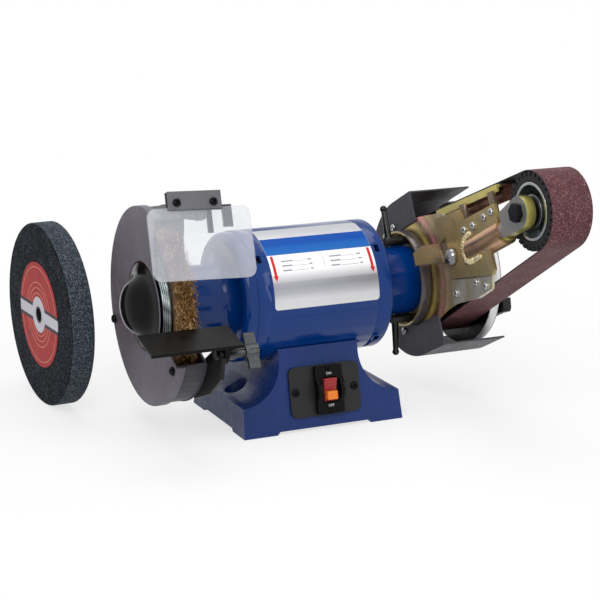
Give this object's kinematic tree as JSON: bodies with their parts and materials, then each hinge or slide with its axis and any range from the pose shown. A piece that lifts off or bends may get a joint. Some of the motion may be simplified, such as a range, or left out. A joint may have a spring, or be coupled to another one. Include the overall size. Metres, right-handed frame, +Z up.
{
  "type": "bench grinder with belt sander",
  "caption": "Bench grinder with a guarded wire wheel on one end and a swivelling belt and disc sander on the other, with eye shield, tool rest, paddle switch and a spare stone wheel.",
  "frame": {"origin": "centre of the base footprint on the bench", "axes": "+X along the shaft towards the sander, -Y to the operator, +Z up"},
  "size_m": [0.5163, 0.5572, 0.3185],
  "materials": {
    "base": "orange-peel enamel",
    "bottom_plate": "plain sheet",
    "cord_gland": "satin",
    "capacitor": "drawn can",
    "switch_plate": "satin black",
    "switch_body": "satin",
    "switch_paddle": "moulded",
    "safety_key": "moulded",
    "switch_screws": "blackened",
    "motor_shell": "gloss enamel",
    "left_end_bell": "gloss enamel",
    "right_end_bell": "gloss enamel",
    "stator_core": "laminated",
    "windings": "enamelled wire",
    "rotor_core": "laminated",
    "shaft": "ground",
    "motor_bearings": "polished",
    "through_bolts": "zinc",
    "guard_housing": "satin enamel",
    "guard_cover": "satin enamel",
    "guard_screws": "blackened",
    "wire_hub": "pressed",
    "wire_bristles": "crimped wire",
    "wheel_flanges": "turned",
    "arbor_nut": "zinc",
    "shield_bracket": "satin",
    "shield_arm": "satin",
    "clamp_bar": "satin",
    "eye_shield": "clear",
    "shield_screws": "blackened",
    "rest_bracket": "satin",
    "tool_rest": "satin enamel",
    "rest_wing_bolt": "blackened",
    "mount_ring": "yellow zinc",
    "swivel_plate": "yellow zinc",
    "upper_clamp_lever": "satin",
    "lower_clamp_lever": "satin",
    "channel_bracket": "yellow zinc",
    "pivot_bolt": "bright zinc",
    "arm_plate": "yellow zinc",
    "plate_screws": "bright zinc",
    "arm_tube": "yellow zinc",
    "tension_spring": "spring wire",
    "axle_bar": "yellow zinc",
    "axle_bolt": "blackened",
    "contact_hub": "turned",
    "contact_tyre": "serrated",
    "contact_bearings": "sealed",
    "drive_wheel": "cast",
    "disc_plate": "turned",
    "abrasive_disc": "grit",
    "platen": "yellow zinc",
    "platen_pad": "graphite cloth",
    "platen_bracket": "yellow zinc",
    "sanding_belt": "grit",
    "upper_guard": "satin enamel",
    "lower_guard": "satin enamel",
    "table_bracket": "satin enamel",
    "spare_stone": "vitrified grit, opaque",
    "stone_blotters": "printed paper"
  },
  "bodies": {
    "stand": {"base": "base", "bottom_plate": "bottom_plate", "cord_gland": "cord_gland", "capacitor": "capacitor", "switch_plate": "switch_plate", "switch_body": "switch_body", "switch_screws": "switch_screws", "motor_shell": "motor_shell", "left_end_bell": "left_end_bell", "right_end_bell": "right_end_bell", "stator_core": "stator_core", "windings": "windings", "motor_bearings": "motor_bearings", "through_bolts": "through_bolts", "guard_housing": "guard_housing", "guard_cover": "guard_cover", "guard_screws": "guard_screws", "shield_bracket": "shield_bracket", "mount_ring": "mount_ring"},
    "paddle": {"switch_paddle": "switch_paddle"},
    "key": {"safety_key": "safety_key"},
    "rotor": {"shaft": "shaft", "rotor_core": "rotor_core", "wire_hub": "wire_hub", "wire_bristles": "wire_bristles", "wheel_flanges": "wheel_flanges", "arbor_nut": "arbor_nut", "drive_wheel": "drive_wheel", "disc_plate": "disc_plate", "abrasive_disc": "abrasive_disc"},
    "shield": {"shield_arm": "shield_arm", "clamp_bar": "clamp_bar", "eye_shield": "eye_shield", "shield_screws": "shield_screws"},
    "rest_slider": {"rest_bracket": "rest_bracket"},
    "rest": {"tool_rest": "tool_rest"},
    "wing": {"rest_wing_bolt": "rest_wing_bolt"},
    "sander": {"swivel_plate": "swivel_plate", "channel_bracket": "channel_bracket", "pivot_bolt": "pivot_bolt", "arm_plate": "arm_plate", "plate_screws": "plate_screws", "arm_tube": "arm_tube", "tension_spring": "tension_spring", "platen": "platen", "platen_pad": "platen_pad", "platen_bracket": "platen_bracket", "sanding_belt": "sanding_belt", "upper_guard": "upper_guard", "lower_guard": "lower_guard", "table_bracket": "table_bracket"},
    "upper_lever": {"upper_clamp_lever": "upper_clamp_lever"},
    "lower_lever": {"lower_clamp_lever": "lower_clamp_lever"},
    "tension": {"axle_bar": "axle_bar", "axle_bolt": "axle_bolt"},
    "contact": {"contact_hub": "contact_hub", "contact_tyre": "contact_tyre", "contact_bearings": "contact_bearings"},
    "spare": {"spare_stone": "spare_stone", "stone_blotters": "stone_blotters"}
  },
  "joints": [
    {"name": "rotor_spin", "type": "hinge", "parent": "stand", "child": "rotor", "pos_m": [0, 0, 0.1485], "axis": [1, 0, 0], "continuous": true},
    {"name": "attachment_swivel", "type": "hinge", "parent": "stand", "child": "sander", "pos_m": [0, 0, 0.1485], "axis": [1, 0, 0], "range_deg": [-63.1, 26.9]},
    {"name": "belt_tension", "type": "slide", "parent": "sander", "child": "tension", "axis": [0, 0.8918, -0.4524], "range_m": [0, 0.006], "stiffness_N_per_m": 3000, "springref_m": -0.01, "deforming": ["tension_spring"]},
    {"name": "contact_spin", "type": "hinge", "parent": "tension", "child": "contact", "pos_m": [0.188, -0.24614, 0.27337], "axis": [1, 0, 0], "continuous": true},
    {"name": "upper_lever_turn", "type": "hinge", "parent": "sander", "child": "upper_lever", "pos_m": [0.132, -0.00698, 0.19751], "axis": [1, 0, 0], "range_deg": [-45, 45]},
    {"name": "lower_lever_turn", "type": "hinge", "parent": "sander", "child": "lower_lever", "pos_m": [0.132, -0.02542, 0.10603], "axis": [1, 0, 0], "range_deg": [-45, 45]},
    {"name": "shield_tilt", "type": "hinge", "parent": "stand", "child": "shield", "pos_m": [-0.161, -0.07089, 0.26726], "axis": [1, 0, 0], "range_deg": [-60, 8]},
    {"name": "rest_slide", "type": "slide", "parent": "stand", "child": "rest_slider", "axis": [0, -0.7986, 0.6018], "range_m": [-0.002, 0.012]},
    {"name": "rest_tilt", "type": "hinge", "parent": "rest_slider", "child": "rest", "pos_m": [-0.148, -0.132, 0.121], "axis": [1, 0, 0], "range_deg": [-2, 35]},
    {"name": "wing_turn", "type": "hinge", "parent": "rest_slider", "child": "wing", "pos_m": [-0.148, -0.132, 0.121], "axis": [1, 0, 0], "continuous": true},
    {"name": "switch_rock", "type": "hinge", "parent": "stand", "child": "paddle", "pos_m": [0.0065, -0.07443, 0.04599], "axis": [1, 0, 0], "range_deg": [-10, 0]},
    {"name": "key_pull", "type": "slide", "parent": "paddle", "child": "key", "axis": [0, -0.9763, 0.2164], "range_m": [0, 0.02]},
    {"name": "spare_lift", "type": "slide", "parent": "stand", "child": "spare", "axis": [0, 0, 1], "range_m": [0, 0.12]}
  ],
  "couplings": [
    {"joint": "contact_spin", "follows": "rotor_spin", "ratio": 1.5276}
  ]
}
